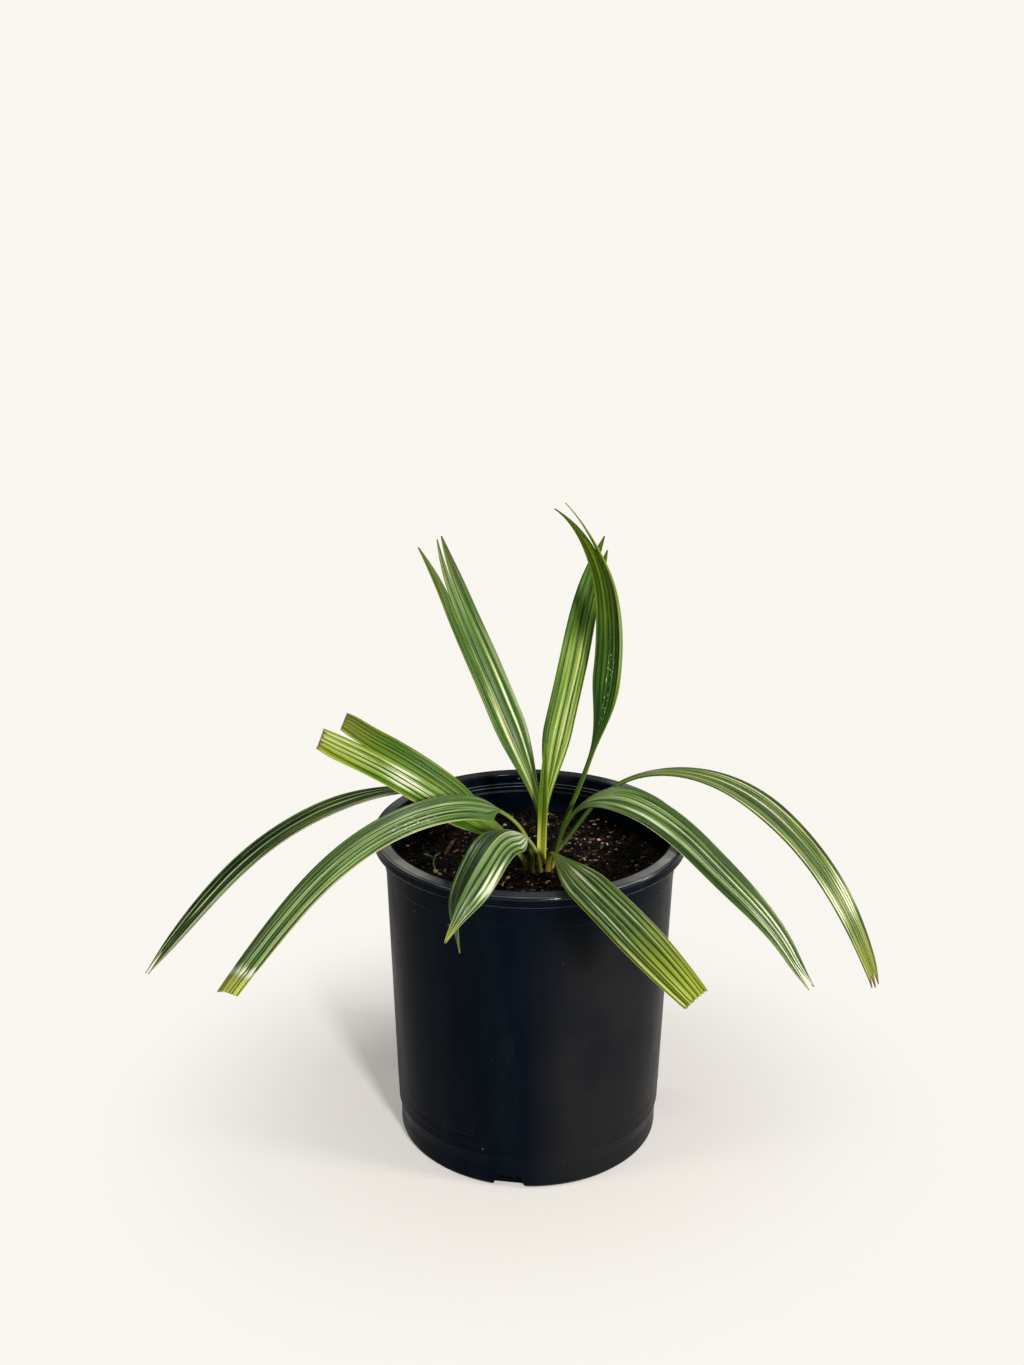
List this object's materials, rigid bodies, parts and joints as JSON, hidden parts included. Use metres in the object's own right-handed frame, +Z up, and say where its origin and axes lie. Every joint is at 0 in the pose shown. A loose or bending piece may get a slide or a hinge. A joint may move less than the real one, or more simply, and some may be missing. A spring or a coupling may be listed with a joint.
{
  "type": "potted dwarf palmetto",
  "caption": "Young fan palm with long pleated strap leaves, some split or cut square at the end, arching from a short stem in a round plastic nursery pot filled with soil.",
  "frame": {"origin": "middle of the pot's foot, in the plane that the pot stands on", "axes": "+Z is up; -Y is the front, the side that most leaves are seen from; +X is to the right seen from the front"},
  "size_m": [0.396, 0.2635, 0.3529],
  "materials": {
    "pot_plastic": "satin black moulded plastic",
    "potting_soil": "rough bark and peat crumbs",
    "stem_fibre": "rough fibre",
    "spear_green": "young leaf, satin",
    "leaf_green": "waxy leaf with pale stripes, satin"
  },
  "bodies": {
    "root": {"pot": "pot_plastic", "soil": "potting_soil", "stem_base": "stem_fibre", "spear_leaf": "spear_green", "leaf_upright_left": "leaf_green", "leaf_upright_right": "leaf_green", "leaf_tall_curled": "leaf_green", "leaf_split_left": "leaf_green", "leaf_arching_far_left": "leaf_green", "leaf_arching_left": "leaf_green", "leaf_split_front": "leaf_green", "leaf_front_right": "leaf_green", "leaf_arching_right": "leaf_green", "leaf_arching_far_right": "leaf_green"}
  },
  "joints": []
}
